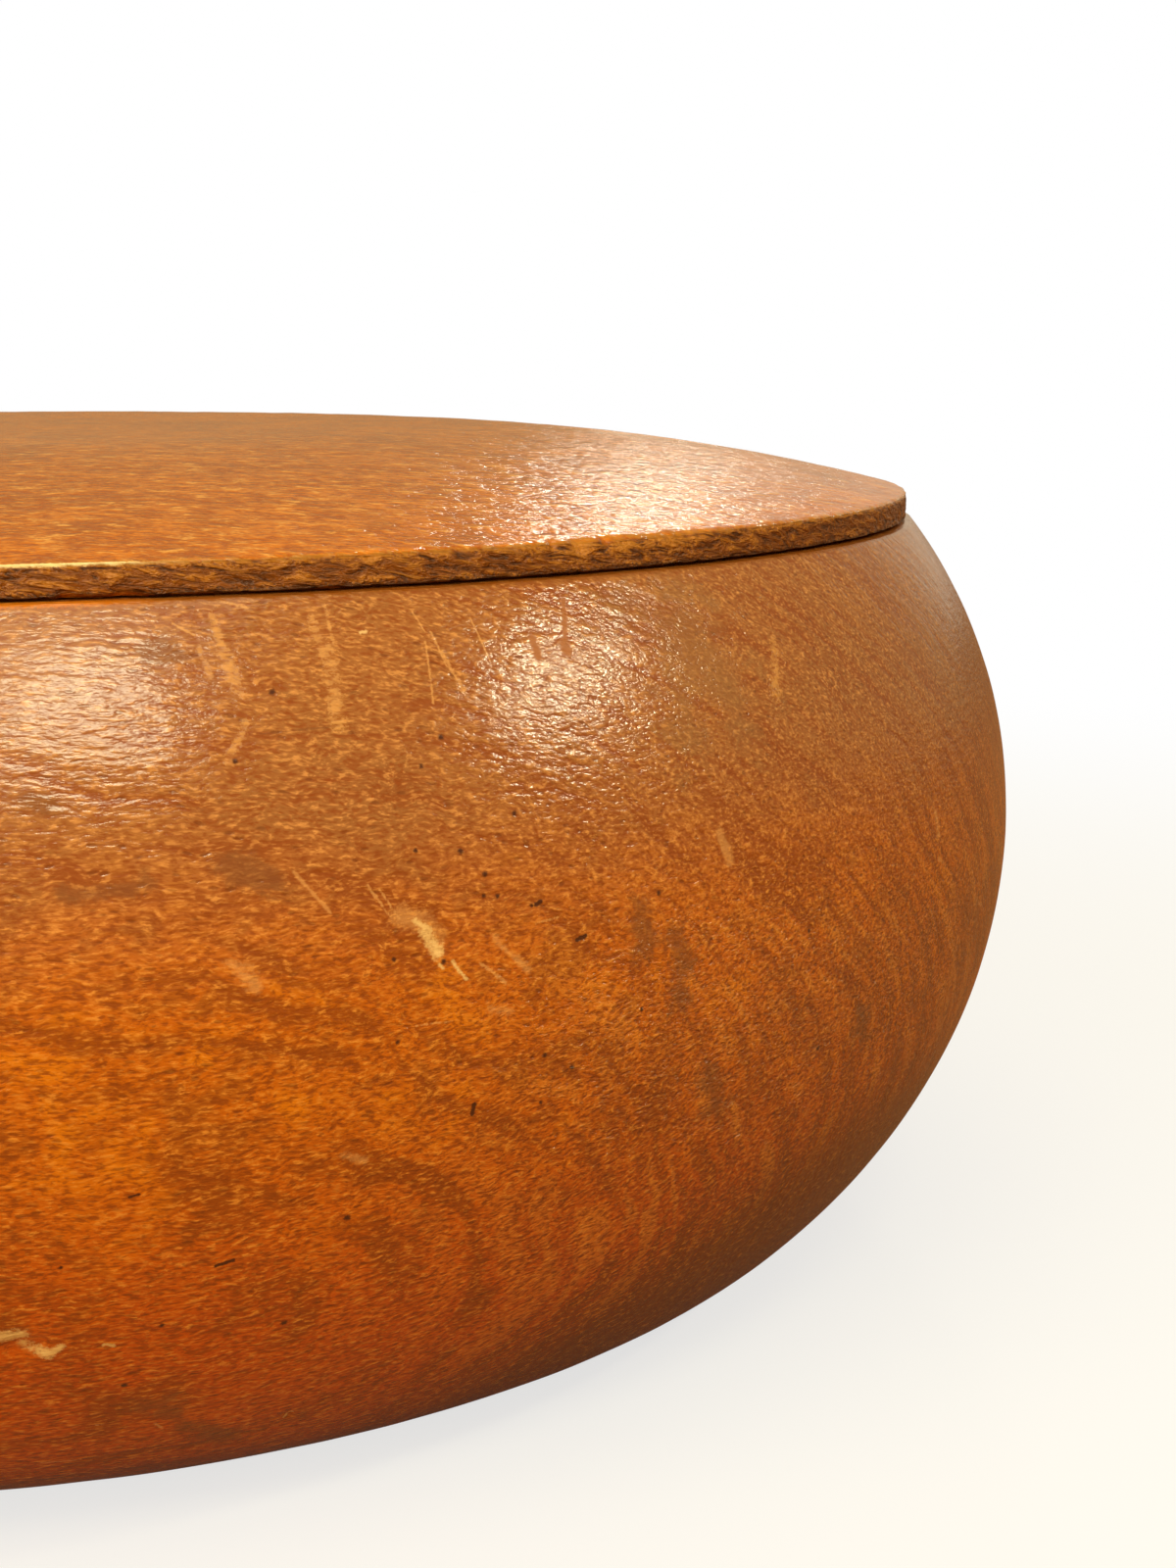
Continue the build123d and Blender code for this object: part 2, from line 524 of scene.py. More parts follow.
def wood_figure():
    """Figure of the wood: mottle, growth layers, wavy fibres along X, grain, pits and pores."""
    n, given, out = new_group(
        "wood_figure",
        [
            ("Place", "Vector", None),
            ("Fibre Length", "Float", 0.8),
            ("Fibre Width", "Float", 0.25),
            ("Layer Width", "Float", 0.8),
        ],
        ["Mottle", "Layers", "Fibres", "Grit", "Pits", "Pores"],
    )
    place = given["Place"]
    wander = n.add("ShaderNodeTexNoise", Vector=place, Scale=0.55, Detail=1.0).outputs["Color"]
    bent = n.vector("MULTIPLY_ADD", wander, (0.5, 0.5, 0.5), place)

    broad = n.noise(place, 6.0, roughness=0.6, distortion=0.6)
    drawn_out = n.vector("MULTIPLY", place, (0.7, 1, 1))
    patchy = n.noise(drawn_out, 1.7, detail=3.0, roughness=0.6, distortion=0.5)
    n.feed(out["Mottle"], n.total((broad, 0.45), (patchy, 0.55)))

    # The growth layers lean 29 degrees from upright.
    apart = n.split(bent)
    layer = n.total((apart["Y"], 0.87), (apart["Z"], 0.48), (n.noise(place, 14.0, detail=1.0), 5.0))
    sheets = n.add(
        "ShaderNodeCombineXYZ",
        X=n.math("MULTIPLY", apart["X"], 0.09),
        Y=n.math("DIVIDE", layer, given["Layer Width"]),
        Z=n.math("MULTIPLY", apart["Z"], 0.16),
    )
    n.feed(out["Layers"], n.noise(sheets.outputs[0], 1.0, roughness=0.6))

    long = n.math("DIVIDE", 1.0, given["Fibre Length"])
    thin = n.math("DIVIDE", 1.0, given["Fibre Width"])
    along = n.add("ShaderNodeCombineXYZ", X=long, Y=thin, Z=thin)
    fibre_place = n.vector("MULTIPLY", bent, along.outputs[0])
    n.feed(out["Fibres"], n.noise(fibre_place, 1.0, detail=3.0, roughness=0.62))
    n.feed(out["Grit"], n.noise(n.vector("MULTIPLY", bent, (0.3, 1, 1)), 0.15, detail=1.0))

    # Pits and pores sit in cells of their own, and only some cells have one.
    pit_place = n.vector("MULTIPLY", bent, (0.9, 3.0, 3.0))
    pit_cells = n.add("ShaderNodeTexVoronoi", Vector=pit_place, Scale=0.95).outputs
    picked = n.add("ShaderNodeSeparateColor", Color=pit_cells["Color"]).outputs["Green"]
    pit = n.spread(pit_cells["Distance"], 0.34, 0.16)
    n.feed(out["Pits"], n.math("MULTIPLY", pit, n.spread(picked, 0.6, 0.8)))

    pore_place = n.vector("MULTIPLY", bent, (0.55, 1, 1))
    pore_cells = n.add("ShaderNodeTexVoronoi", Vector=pore_place, Scale=0.62).outputs
    picked = n.add("ShaderNodeSeparateColor", Color=pore_cells["Color"]).outputs["Red"]
    size = n.spread(picked, 0.72, 1.0, 0.0, 0.08)
    ragged = n.math("SUBTRACT", n.noise(place, 0.22, detail=1.0), 0.5)
    edge = n.math("MULTIPLY_ADD", ragged, 0.16, size)
    pore = n.math("SUBTRACT", edge, pore_cells["Distance"])
    n.feed(out["Pores"], n.spread(pore, -0.03, 0.06))


# Turning lines: how often they break in a radian, and which slice of the noise they are cut from
LINE_BREAKS = 36.0
LINE_SLICE = 3.1


def tool_lines():
    """Fine broken rings left by turning and sanding, over the way along the section."""
    n, given, out = new_group(
        "tool_lines",
        [("Along", "Float", 0.0), ("Place", "Vector", None), ("Spacing", "Float", 0.42)],
        ["Height"],
    )
    apart = n.split(given["Place"])
    angle = n.math("ARCTAN2", apart["Y"], apart["X"])
    across = n.math("DIVIDE", given["Along"], given["Spacing"])
    around = n.math("MULTIPLY", angle, LINE_BREAKS)
    lines = n.add("ShaderNodeCombineXYZ", X=across, Y=around, Z=LINE_SLICE)
    n.feed(out["Height"], n.noise(lines.outputs[0], 1.0, roughness=0.6))


def stroke():
    """How far a point is from a line between two points, counted in half widths of the mark."""
    n, given, out = new_group(
        "stroke",
        [
            ("Place", "Vector", None),
            ("Start", "Vector", None),
            ("End", "Vector", None),
            ("Half Width", "Float", 0.1),
        ],
        ["Away"],
    )
    from_start = n.vector("SUBTRACT", given["Place"], given["Start"])
    span = n.vector("SUBTRACT", given["End"], given["Start"])
    # The small addition keeps a mark without length from dividing by nothing.
    squared = n.math("ADD", n.vector("DOT_PRODUCT", span, span), 1e-4)
    share = n.math("DIVIDE", n.vector("DOT_PRODUCT", from_start, span), squared)
    share = n.math("MAXIMUM", n.math("MINIMUM", share, 1.0), 0.0)
    away = n.vector("DISTANCE", from_start, n.scale(span, share))
    n.feed(out["Away"], n.math("DIVIDE", away, given["Half Width"]))


def edge_wear_and_shade():
    """Strip of wear and painted shade along a corner round the piece, at a radius and height in mm."""
    n, given, out = new_group(
        "edge_wear_and_shade",
        [
            ("Reach", "Float", 0.0),
            ("Height", "Float", 0.0),
            ("Corner Reach", "Float", 0.0),
            ("Corner Height", "Float", 0.0),
            ("Width", "Float", 0.2),
            ("Ragged", "Float", 0.0),
        ],
        ["Mask"],
    )
    side = n.math("SUBTRACT", given["Reach"], given["Corner Reach"])
    rise = n.math("SUBTRACT", given["Height"], given["Corner Height"])
    squared = n.math("MULTIPLY_ADD", rise, rise, n.math("MULTIPLY", side, side))
    away = n.math("DIVIDE", n.math("SQRT", squared), given["Width"])
    away = n.math("ADD", away, given["Ragged"])
    n.feed(out["Mask"], n.spread(away, 0.6, 1.2, 1.0, 0.0))


# Stain, wear, painted shade and painted sheen colours, as they would be written for a screen
STAIN = srgb(190, 94, 3)
STAIN_DEEP = srgb(136, 62, 8)
STAIN_LOW = srgb(194, 72, 2)
STAIN_AMBER = srgb(208, 114, 3)
STAIN_BROWN = srgb(166, 86, 14)
# Shoulder tones: a browner stain with a painted milky sheen of the lacquer laid into it
SHOULDER_SHEEN_BROWN = srgb(146, 93, 48)
SHOULDER_SHEEN_PALE = srgb(222, 152, 84)
STAIN_PALE = srgb(220, 138, 48)
PORE_BROWN = srgb(74, 32, 12)
# Painted shade: a dark brown laid over the bottom of the bowl
BOTTOM_SHADE = srgb(92, 44, 3)
STAIN_WORN = srgb(156, 86, 8)
RUBBED = srgb(204, 138, 50)
PALE_SCRATCH = srgb(226, 164, 96)
BARE_WOOD = srgb(224, 178, 112)
PIT_BROWN = srgb(98, 42, 5)
SMUDGE = srgb(124, 70, 34)
CLOUDED = srgb(146, 102, 60)
LID_TOP = srgb(206, 118, 30)
LID_DEEP = srgb(166, 82, 14)
LID_PALE = srgb(230, 160, 76)
EDGE_BROWN = srgb(130, 69, 10)
EDGE_DARK = srgb(80, 39, 6)
EDGE_GOLD = srgb(182, 114, 34)
CREAM = srgb(248, 214, 150)

# Where each tone of the bowl begins and is full: heights in millimetres, and for the climb of the
# painted shade at the bottom and the amber of the lip, X in millimetres
SHOULDER_SHEEN_HEIGHTS = (29.0, 41.0)
LOW_HEIGHTS = (27.0, 11.0)
BAND_HEIGHTS = (36.0, 28.0)
BOTTOM_SHADE_HEIGHTS = (7.0, -1.0)
BOTTOM_SHADE_CLIMBS = (12.0, 50.0)
BOTTOM_SHADE_CLIMB = 14.0
LIP_AMBER_TO = (10.0, 4.0)

# Reach and height of the bowl's lip, and the width of its strip of painted shade, in millimetres
LIP = (63.7, 49.2)
LIP_WIDTH = 0.35

# Tones of the lid: reach in millimetres, and angles round it in degrees
RIM_GLOW = (58.0, 63.0)
CHIP_BEGINS = (-63.6, -63.2)
CHIP_ENDS = (-52.5, -55.0)
FRESH_ARRIS = (-82.0, -85.3)
LID_FIGURE_SHIFT = (31.0, 7.0, 13.0)

LACQUER_IOR = 1.5
BOWL_SPECULAR = 0.65
LID_SPECULAR = 0.4

# Marks on the bowl: from pixel to pixel of the photograph, and the half width in millimetres. A
# pore has one pixel and a radius.
RUBBED_BANDS = [
    ((216, 628), (228, 664), 0.16),
    ((228, 664), (244, 704), 0.27),
    ((203, 662), (214, 690), 0.13),
    ((250, 738), (246, 752), 0.17),
    ((246, 752), (230, 776), 0.17),
    ((318, 632), (332, 668), 0.2),
    ((334, 660), (345, 738), 0.3),
    ((331, 618), (340, 655), 0.08),
    ((790, 655), (792, 708), 0.26),
]
WORN_NOTCHES = [
    ((543, 650), (550, 670), 0.26),
    ((575, 612), (577, 655), 0.15),
    ((576, 655), (579, 664), 0.34),
]
PALE_SCRATCHES = [
    ((421, 624), (434, 645), 0.06),
    ((434, 655), (442, 717), 0.08),
    ((440, 645), (456, 680), 0.08),
    ((450, 665), (474, 706), 0.14),
    ((480, 630), (500, 674), 0.07),
    ((222, 612), (253, 620), 0.1),
    ((176, 636), (198, 648), 0.09),
    ((425, 1047), (462, 1042), 0.07),
    ((548, 942), (570, 936), 0.09),
    ((42, 1493), (82, 1490), 0.08),
    ((375, 903), (398, 935), 0.09),
    ((388, 908), (408, 938), 0.08),
    ((491, 983), (516, 1003), 0.12),
    ((98, 1455), (106, 1454), 0.09),
    ((158, 1453), (166, 1458), 0.11),
]
FAINT_RUBS = [
    ((412, 935), (446, 955), 0.55),
    ((505, 958), (538, 990), 0.2),
    ((500, 1028), (520, 1032), 0.4),
    ((300, 890), (338, 932), 0.09),
    ((958, 876), (1002, 925), 0.14),
    ((235, 985), (262, 1005), 0.4),
    ((735, 850), (745, 880), 0.3),
    ((955, 830), (958, 850), 0.3),
    ((350, 1180), (372, 1184), 0.25),
]
BARE_CHIPS = [
    ((434, 952), (448, 972), 0.36),
    ((424, 940), (440, 950), 0.16),
    ((462, 982), (476, 999), 0.12),
    ((448, 984), (452, 988), 0.1),
    ((2, 1364), (22, 1362), 0.38),
    ((24, 1374), (48, 1382), 0.32),
    ((50, 1382), (62, 1374), 0.2),
    ((107, 1373), (115, 1374), 0.12),
    ((290, 1446), (298, 1441), 0.11),
    ((368, 645), (374, 644), 0.1),
]
DARK_LINES = [
    ((547, 923), (552, 920), 0.13),
    ((589, 959), (598, 955), 0.13),
    ((482, 1137), (484, 1127), 0.14),
    ((220, 1292), (238, 1286), 0.11),
    ((132, 1222), (142, 1219), 0.08),
]
DARK_PORES = [
    ((278, 706), 0.19),
    ((450, 752), 0.18),
    ((525, 830), 0.17),
    ((430, 782), 0.15),
    ((470, 869), 0.17),
    ((424, 868), 0.14),
    ((495, 892), 0.18),
    ((494, 914), 0.14),
    ((508, 914), 0.15),
    ((543, 924), 0.13),
    ((672, 911), 0.17),
    ((453, 981), 0.16),
    ((402, 979), 0.15),
    ((406, 1064), 0.14),
    ((556, 1077), 0.17),
    ((584, 1089), 0.19),
    ((552, 1125), 0.14),
    ((62, 1294), 0.13),
    ((354, 1243), 0.2),
    ((165, 1353), 0.17),
    ((290, 1350), 0.2),
    ((127, 1414), 0.2),
    ((240, 777), 0.15),
    ((655, 1030), 0.13),
    ((835, 1070), 0.16),
    ((914, 1045), 0.13),
    ((826, 950), 0.13),
    ((718, 1270), 0.14),
]
SMUDGES = [
    ((156, 665), (188, 670), 0.5),
    ((22, 815), (50, 822), 0.5),
    ((690, 965), (698, 1015), 0.9),
    ((722, 1100), (728, 1118), 1.0),
    ((160, 1432), (232, 1468), 0.9),
    ((232, 884), (272, 896), 0.7),
    ((70, 915), (150, 903), 0.5),
    ((655, 935), (662, 968), 0.9),
    ((878, 1035), (884, 1060), 0.7),
    ((265, 749), (345, 741), 0.05),
]
DULL_PATCH = [((688, 640), (730, 690), 3.2)]

# Farther than any mark reaches, counted in its half widths
FAR_AWAY = 9.0


def strokes(n, place, ragged, lines, shape, inner=0.55, outer=1.25):
    """Mask of several marks, full within inner half widths; ragged breaks up their edges."""
    nearest = FAR_AWAY
    for start, end, half_width in lines:
        start, end = seen(start, shape), seen(end, shape)
        away = n.group("stroke", Place=place, Start=start, End=end, Half_Width=half_width)[0]
        nearest = n.math("MINIMUM", nearest, away)
    return n.spread(n.math("ADD", nearest, ragged), inner, outer, 1.0, 0.0)


def dots(n, place, ragged, spots, shape):
    """Mask of several round spots; ragged breaks up their edges."""
    nearest = FAR_AWAY
    for pixel, radius in spots:
        away = n.math("DIVIDE", n.vector("DISTANCE", place, seen(pixel, shape)), radius)
        nearest = n.math("MINIMUM", nearest, away)
    return n.spread(n.math("ADD", nearest, ragged), 0.3, 1.3, 1.0, 0.0)


def new_material(name):
    """A material without nodes, and the means to add them."""
    material = bpy.data.materials.new(name)
    material.use_nodes = True
    material.node_tree.nodes.clear()
    return material, Nodes(material.node_tree)


def position(n):
    """Where a point of the piece is, in millimetres: place, X, Y and Z, and reach from the axis."""
    place = n.scale(n.add("ShaderNodeTexCoord").outputs["Object"], 1 / MM)
    reach = n.vector("LENGTH", n.vector("MULTIPLY", place, (1, 1, 0)))
    return place, n.split(place), reach


def uneven(n, place, size):
    """Rough values from about -1.5 to 1.5 that break up the edges of marks."""
    return n.math("MULTIPLY_ADD", n.noise(place, size, roughness=0.6), 3.0, -1.5)


def edge_strip_mask(n, spot, corner, width, ragged):
    """Strip mask of wear and painted shade on a corner; spot and corner are each a reach and a height.
    """
    return n.group(
        "edge_wear_and_shade",
        Reach=spot[0],
        Height=spot[1],
        Corner_Reach=corner[0],
        Corner_Height=corner[1],
        Width=width,
        Ragged=ragged,
    )[0]


def lacquer(n, colour, relief, roughness, specular):
    """The material's surface; relief is in millimetres."""
    bump = n.add("ShaderNodeBump", Height=relief, Strength=1.0, Distance=MM)
    shader = n.add(
        "ShaderNodeBsdfPrincipled",
        Base_Color=colour,
        Roughness=roughness,
        IOR=LACQUER_IOR,
        Specular_IOR_Level=specular,
        Normal=bump.outputs[0],
    )
    n.add("ShaderNodeOutputMaterial", Surface=shader.outputs[0])


def fibre_tones(n, figure, colour, deep, pale, strength):
    """Darker and paler tones along the fibres and finer grain; pale grain partly painted glints."""
    dark = n.spread(figure["Fibres"], 0.5, 0.36, 0.0, strength)
    light = n.spread(figure["Fibres"], 0.54, 0.7, 0.0, strength)
    colour = n.mix(dark, colour, deep)
    colour = n.mix(light, colour, pale)
    colour = n.mix(n.spread(figure["Grit"], 0.48, 0.28, 0.0, 0.75), colour, deep)
    # Pale specks of the finer grain: partly paler wood, partly painted glints.
    return n.mix(n.spread(figure["Grit"], 0.52, 0.74, 0.0, 0.45), colour, pale)


def bowl_stain(n, figure, apart, reach):
    """Bowl stain with figure: browner, painted sheen on top; redder, painted shade low down."""
    height = apart["Z"]
    colour = n.mix(n.spread(figure["Mottle"], 0.39, 0.52), STAIN_BROWN, STAIN)
    colour = n.mix(n.spread(figure["Mottle"], 0.52, 0.66), colour, STAIN_AMBER)
    # Painted sheen: the shoulder turns a milky brown.
    colour = n.mix(n.spread(height, *SHOULDER_SHEEN_HEIGHTS, 0.0, 0.85), colour, SHOULDER_SHEEN_BROWN)
    colour = n.mix(n.spread(height, *LOW_HEIGHTS, 0.0, 0.7), colour, STAIN_LOW)
    colour = n.mix(n.spread(figure["Layers"], 0.52, 0.34, 0.0, 0.75), colour, STAIN_DEEP)
    end_grain = n.spread(n.math("DIVIDE", apart["X"], reach), 0.15, 0.6)
    bands = n.math("MULTIPLY", n.spread(figure["Layers"], 0.52, 0.62, 0.0, 0.5), end_grain)
    bands = n.math("MULTIPLY", bands, n.spread(height, *BAND_HEIGHTS))
    colour = n.mix(bands, colour, STAIN_PALE)
    # Painted shade: the bottom darkens, and the darkening climbs higher towards +X.
    climb = n.spread(apart["X"], *BOTTOM_SHADE_CLIMBS, 0.0, BOTTOM_SHADE_CLIMB)
    bottom_shade = n.spread(n.math("SUBTRACT", height, climb), *BOTTOM_SHADE_HEIGHTS, 0.0, 0.8)
    colour = n.mix(bottom_shade, colour, BOTTOM_SHADE)
    strength = n.spread(figure["Mottle"], 0.64, 0.42, 0.65, 0.85)
    strength = n.math("MULTIPLY", strength, n.spread(height, 30.0, 40.0, 1.05, 0.75))
    # Painted sheen: the pale fibres of the shoulder turn milkier.
    pale = n.mix(n.spread(height, *SHOULDER_SHEEN_HEIGHTS), STAIN_PALE, SHOULDER_SHEEN_PALE)
    colour = fibre_tones(n, figure, colour, STAIN_DEEP, pale, strength)
    colour = n.mix(n.math("MULTIPLY", figure["Pits"], 0.5), colour, PIT_BROWN)
    return colour, end_grain


def bowl_marks(n, figure, place, ragged, shape, colour):
    """Puts the marks of the photograph on the stain, and says how dull the lacquer is there."""
    soft = n.math("MULTIPLY", ragged, 0.4)
    blotchy = n.total((figure["Mottle"], 7.0), (ragged, 0.5), start=-3.5)
    patchy = n.math("MULTIPLY_ADD", blotchy, 0.35, ragged)
    crumbled = n.math("MULTIPLY_ADD", blotchy, 0.4, soft)
    smudged = strokes(n, place, blotchy, SMUDGES, shape, 0.1, 1.5)
    colour = n.mix(n.math("MULTIPLY", smudged, 0.65), colour, SMUDGE)
    clouded = strokes(n, place, blotchy, DULL_PATCH, shape, 0.1, 1.6)
    colour = n.mix(n.math("MULTIPLY", clouded, 0.45), colour, CLOUDED)
    faint = strokes(n, place, blotchy, FAINT_RUBS, shape, 0.1, 1.4)
    colour = n.mix(n.math("MULTIPLY", faint, 0.4), colour, PALE_SCRATCH)
    rubbed = strokes(n, place, patchy, RUBBED_BANDS, shape, 0.1, 2.0)
    rubbed = n.math("MULTIPLY", rubbed, n.spread(figure["Fibres"], 0.38, 0.56, 0.3, 1.0))
    colour = n.mix(n.math("MULTIPLY", rubbed, 0.62), colour, RUBBED)
    notched = strokes(n, place, soft, WORN_NOTCHES, shape)
    colour = n.mix(n.math("MULTIPLY", notched, 0.8), colour, STAIN_WORN)
    scratched = strokes(n, place, ragged, PALE_SCRATCHES, shape, 0.1, 1.2)
    colour = n.mix(n.math("MULTIPLY", scratched, 0.5), colour, PALE_SCRATCH)
    chipped = strokes(n, place, crumbled, BARE_CHIPS, shape, 0.2, 1.5)
    colour = n.mix(chipped, colour, BARE_WOOD)
    lined = strokes(n, place, soft, DARK_LINES, shape)
    pitted = n.math("MAXIMUM", lined, dots(n, place, soft, DARK_PORES, shape))
    pitted = n.math("MAXIMUM", pitted, n.math("MULTIPLY", figure["Pores"], 0.25))
    colour = n.mix(pitted, colour, PORE_BROWN)
    return colour, n.math("MAXIMUM", notched, n.math("MAXIMUM", chipped, rubbed))


def bowl_relief(n, figure, apart, end_grain, lines):
    """Relief of the bowl: fibres and grain, stronger on end grain, layers and turning lines."""
    height = apart["Z"]
    fibre_depth = n.math("MULTIPLY_ADD", end_grain, 0.24, 0.08)
    on_shoulder = n.spread(apart["X"], 0.0, 25.0, 0.03, 0.04)
    fibre_depth = n.spread(height, 25.0, 36.0, fibre_depth, on_shoulder)
    grain_depth = n.math("MULTIPLY_ADD", end_grain, 0.02, 0.008)
    line_depth = n.spread(apart["X"], 5.0, 30.0, 0.04, 0.08)
    line_depth = n.spread(height, 24.0, 35.0, 0.02, line_depth)
    line_depth = n.spread(height, 37.0, 43.0, line_depth, 0.045)
    return n.total(
        (figure["Fibres"], fibre_depth),
        (figure["Grit"], grain_depth),
        (lines, line_depth),
        (figure["Layers"], 0.08),
        (figure["Pores"], -0.015),
        (figure["Pits"], -0.01),
    )


def bowl_wood(shape):
    """Stained wood of the bowl, with its marks and painted shade along its lip under the lid."""
    material, n = new_material("bowl_stained_wood")
    place, apart, reach = position(n)
    figure = n.group("wood_figure", Place=place)
    ragged = uneven(n, place, 0.16)

    outward = n.math("SUBTRACT", reach, BILGE_CENTRE[0] / MM)
    upward = n.math("SUBTRACT", apart["Z"], BELLY_HEIGHT / MM)
    along = n.math("MULTIPLY", n.math("ARCTAN2", upward, outward), SHOULDER_ARC / MM)
    lines = n.group("tool_lines", Along=along, Place=place)[0]

    colour, end_grain = bowl_stain(n, figure, apart, reach)
    colour, dull = bowl_marks(n, figure, place, ragged, shape, colour)
    # Painted shade: the lip under the lid's edge darkens to brown, staying amber towards the left.
    lip_shade = edge_strip_mask(n, (reach, apart["Z"]), LIP, LIP_WIDTH, n.math("MULTIPLY", ragged, 0.5))
    lip_shade_colour = n.mix(n.spread(apart["X"], *LIP_AMBER_TO), EDGE_BROWN, STAIN_AMBER)
    colour = n.mix(n.math("MULTIPLY", lip_shade, 0.7), colour, lip_shade_colour)

    relief = bowl_relief(n, figure, apart, end_grain, lines)
    roughness = n.total((figure["Mottle"], 0.2), (dull, 0.35), start=0.06)
    lacquer(n, colour, relief, roughness, BOWL_SPECULAR)
    return material


def lid_top_stain(n, figure, apart, reach):
    """Stain of the lid's top, amber at the rim, with its figure."""
    colour = n.mix(n.spread(figure["Mottle"], 0.36, 0.6), STAIN_BROWN, LID_TOP)
    rim_glow = n.spread(figure["Mottle"], 0.42, 0.55)
    rim_glow = n.math("MULTIPLY", n.spread(reach, *RIM_GLOW), rim_glow)
    colour = n.mix(rim_glow, colour, STAIN_AMBER)
    colour = n.mix(n.spread(figure["Layers"], 0.52, 0.34, 0.0, 0.45), colour, LID_DEEP)
    strength = n.spread(apart["Y"], -45.0, 5.0, 1.0, 0.5)
    return fibre_tones(n, figure, colour, LID_DEEP, LID_PALE, strength)


def lid_edge_fibres(n, apart, reach, angle):
    """Fibres that lean across the lid's thin edge."""
    around = n.math("MULTIPLY", angle, math.radians(lid_radius / MM))
    leaning = n.math("MULTIPLY_ADD", apart["Z"], 1.6, around)
    slant = n.add(
        "ShaderNodeCombineXYZ",
        X=n.math("MULTIPLY", leaning, 0.8),
        Y=n.math("MULTIPLY", apart["Z"], 2.4),
        Z=n.math("MULTIPLY", reach, 1.2),
    )
    return n.noise(slant.outputs[0], 1.0, detail=3.0, roughness=0.65, distortion=0.8)


def lid_wear_and_shade(n, spot, angle, fibres, ragged, colour):
    """Worn arris with its chip and fresh stretch at the left, and painted shade on the lower corner.
    """
    arris = (lid_radius / MM, arris_height / MM)
    lower = (lid_radius / MM, bowl_top / MM)
    chip = n.math("MULTIPLY", n.spread(angle, *CHIP_BEGINS), n.spread(angle, *CHIP_ENDS))
    worn = edge_strip_mask(n, spot, arris, n.math("MULTIPLY_ADD", chip, 0.7, 0.35), ragged)
    colour = n.mix(n.math("MULTIPLY", worn, n.spread(fibres, 0.38, 0.56)), colour, EDGE_GOLD)
    fresh = edge_strip_mask(n, spot, arris, 0.17, n.math("MULTIPLY", ragged, 0.4))
    fresh = n.math("MULTIPLY", fresh, n.spread(angle, *FRESH_ARRIS, 0.12, 1.0))
    colour = n.mix(fresh, colour, CREAM)
    # Painted shade: the lid's lower corner, over the gap to the bowl, darkens.
    gap_shade = edge_strip_mask(n, spot, lower, 0.3, ragged)
    return n.mix(n.math("MULTIPLY", gap_shade, 0.8), colour, EDGE_DARK)


def lid_wood():
    """Stained wood of the lid, with the bare fibres of its edge and its worn arris."""
    material, n = new_material("lid_stained_wood")
    place, apart, reach = position(n)
    own_place = n.vector("ADD", place, LID_FIGURE_SHIFT)
    figure = n.group("wood_figure", Place=own_place, Fibre_Length=1.3, Fibre_Width=0.6)
    ragged = uneven(n, place, 0.2)
    angle = n.math("MULTIPLY", n.math("ARCTAN2", apart["Y"], apart["X"]), 180 / math.pi)

    top = lid_top_stain(n, figure, apart, reach)
    fibres = lid_edge_fibres(n, apart, reach, angle)
    side = n.mix(n.spread(fibres, 0.48, 0.34), EDGE_BROWN, EDGE_DARK)
    side = n.mix(n.spread(fibres, 0.5, 0.64, 0.0, 0.85), side, EDGE_GOLD)
    on_side = n.spread(n.math("SUBTRACT", reach, lid_radius / MM), -0.5, -0.12)
    below = n.spread(n.math("SUBTRACT", apart["Z"], arris_height / MM), 0.0, -0.25)
    on_side = n.math("MULTIPLY", on_side, below)
    colour = n.mix(on_side, top, side)
    colour = lid_wear_and_shade(n, (reach, apart["Z"]), angle, fibres, ragged, colour)
    colour = n.mix(n.math("MULTIPLY", figure["Pores"], 0.25), colour, PORE_BROWN)

    relief = n.total(
        (figure["Fibres"], 0.16),
        (figure["Grit"], 0.045),
        (n.math("MULTIPLY", fibres, on_side), 0.5),
        (figure["Layers"], 0.03),
    )
    roughness = n.total((figure["Mottle"], 0.2), (on_side, 0.25), start=0.07)
    lacquer(n, colour, relief, roughness, LID_SPECULAR)
    return material


def background_share(n):
    """How much of the white background a ray is shown."""
    rays = n.add("ShaderNodeLightPath").outputs
    direct = n.math("MAXIMUM", rays["Is Camera Ray"], rays["Is Transmission Ray"])
    return n.math("MAXIMUM", direct, n.math("MULTIPLY", rays["Is Glossy Ray"], SHARE_IN_GLOSS))


def make_stage():
    """Pale floor: white to the camera with the box's shadow, and dim for the light it gives back."""
    mesh = bpy.data.meshes.new("floor")
    corners = [(-1, -1, 0), (1, -1, 0), (1, 1, 0), (-1, 1, 0)]
    mesh.from_pydata([FLOOR_REACH * Vector(corner) for corner in corners], [], [(0, 1, 2, 3)])
    floor = bpy.data.objects.new("floor", mesh)
    bpy.context.scene.collection.objects.link(floor)
    material, n = new_material("pale_floor")
    away = n.vector("LENGTH", n.add("ShaderNodeTexCoord").outputs["Object"])
    white = n.add("ShaderNodeEmission", Color=WHITE, Strength=1.0).outputs[0]
    lit = n.add("ShaderNodeBsdfDiffuse", Color=FLOOR_LIT).outputs[0]
    shown = n.blend(n.spread(away, SHADOW_FROM, SHADOW_TO, SHADOW_SHARE, 0.0), white, lit)
    dim = n.add("ShaderNodeBsdfDiffuse", Color=FLOOR_DIM).outputs[0]
    n.add("ShaderNodeOutputMaterial", Surface=n.blend(background_share(n), dim, shown))
    mesh.materials.append(material)


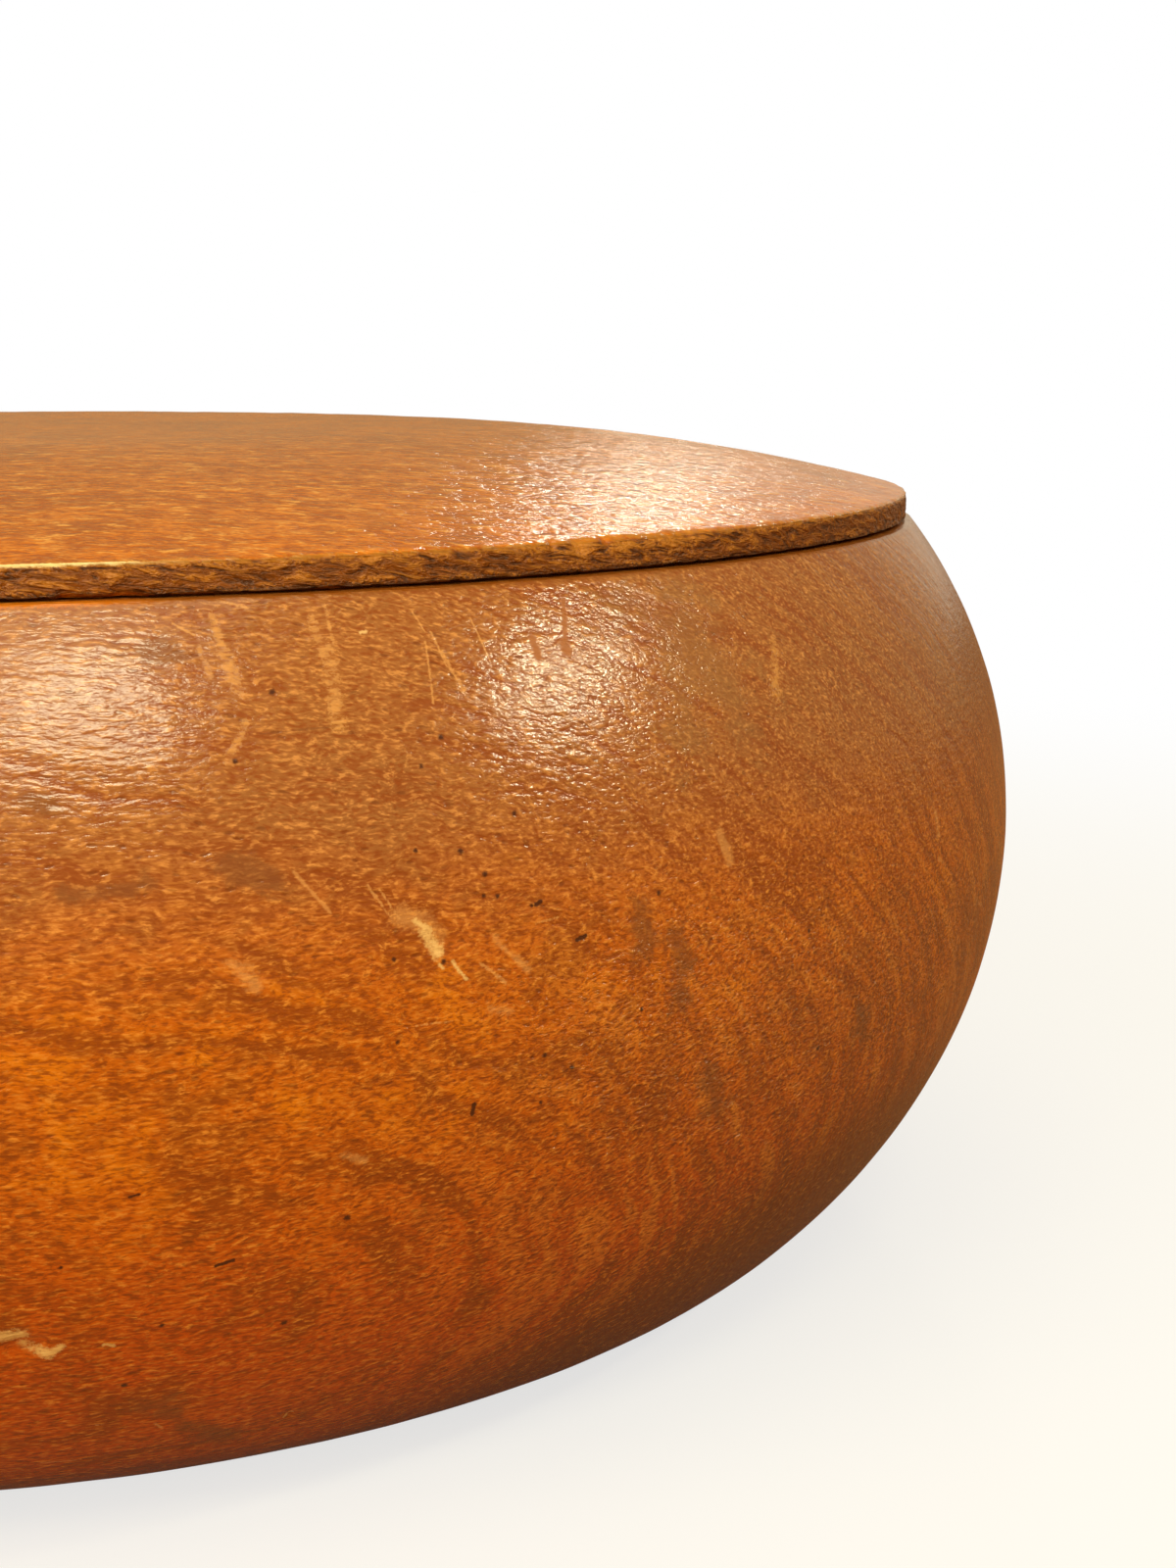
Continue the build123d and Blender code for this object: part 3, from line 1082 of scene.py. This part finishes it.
def make_world():
    """White to the camera; a soft, dim, slightly warm room for everything else."""
    world = bpy.data.worlds.new("soft_room")
    bpy.context.scene.world = world
    world.use_nodes = True
    world.node_tree.nodes.clear()
    n = Nodes(world.node_tree)
    room = n.add("ShaderNodeBackground", Color=ROOM_COLOUR, Strength=ROOM_STRENGTH).outputs[0]
    white = n.add("ShaderNodeBackground", Color=WHITE, Strength=1.0).outputs[0]
    n.add("ShaderNodeOutputWorld", Surface=n.blend(background_share(n), room, white))


def lamp(name, heading, height, size, power, tint):
    """A round soft lamp; heading is the angle round the axis and height the angle above level."""
    data = bpy.data.lights.new(name, "AREA")
    data.shape = "DISK"
    data.size = size
    data.energy = power
    data.color = tint
    piece = bpy.data.objects.new(name, data)
    bpy.context.scene.collection.objects.link(piece)
    across, up = math.radians(heading), math.radians(height)
    way = Vector((math.cos(across) * math.cos(up), math.sin(across) * math.cos(up), math.sin(up)))
    piece.location = LAMP_AIM + way * LAMP_DISTANCE
    piece.rotation_mode = "QUATERNION"
    piece.rotation_quaternion = way.to_track_quat("Z", "Y")
    piece.visible_camera = False


def make_camera():
    """The photograph's own camera."""
    data = bpy.data.cameras.new("camera")
    data.sensor_width = SENSOR
    data.lens = LENS
    data.clip_start = NEAREST
    camera = bpy.data.objects.new("camera", data)
    bpy.context.scene.collection.objects.link(camera)
    camera.matrix_world = Matrix.Translation(EYE) @ view_turn.to_4x4()
    bpy.context.scene.camera = camera


wood_figure()
tool_lines()
stroke()
edge_wear_and_shade()

section = bowl_section()
bowl_shape = target(section)
angles = column_angles(BOWL_FINE_STEP)
grid, ways = turned(section, angles)
wear_bowl(grid, ways, bowl_shape)
bowl = make_piece("turned_bowl", grid, section)
bowl.data.materials.append(bowl_wood(bowl_shape))
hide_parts("bowl")
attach(bowl, "bowl")

section = lid_section()
angles = column_angles(LID_FINE_STEP)
grid, ways = turned(section, angles)
wear_lid(grid, ways, angles)
lid = make_piece("turned_lid", grid, section)
lid.data.materials.append(lid_wood())
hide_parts("lid")
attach(lid, "lid")

make_stage()
make_world()
for settings in LAMPS:
    lamp(*settings)
make_camera()
bpy.context.scene.view_settings.view_transform = "Standard"
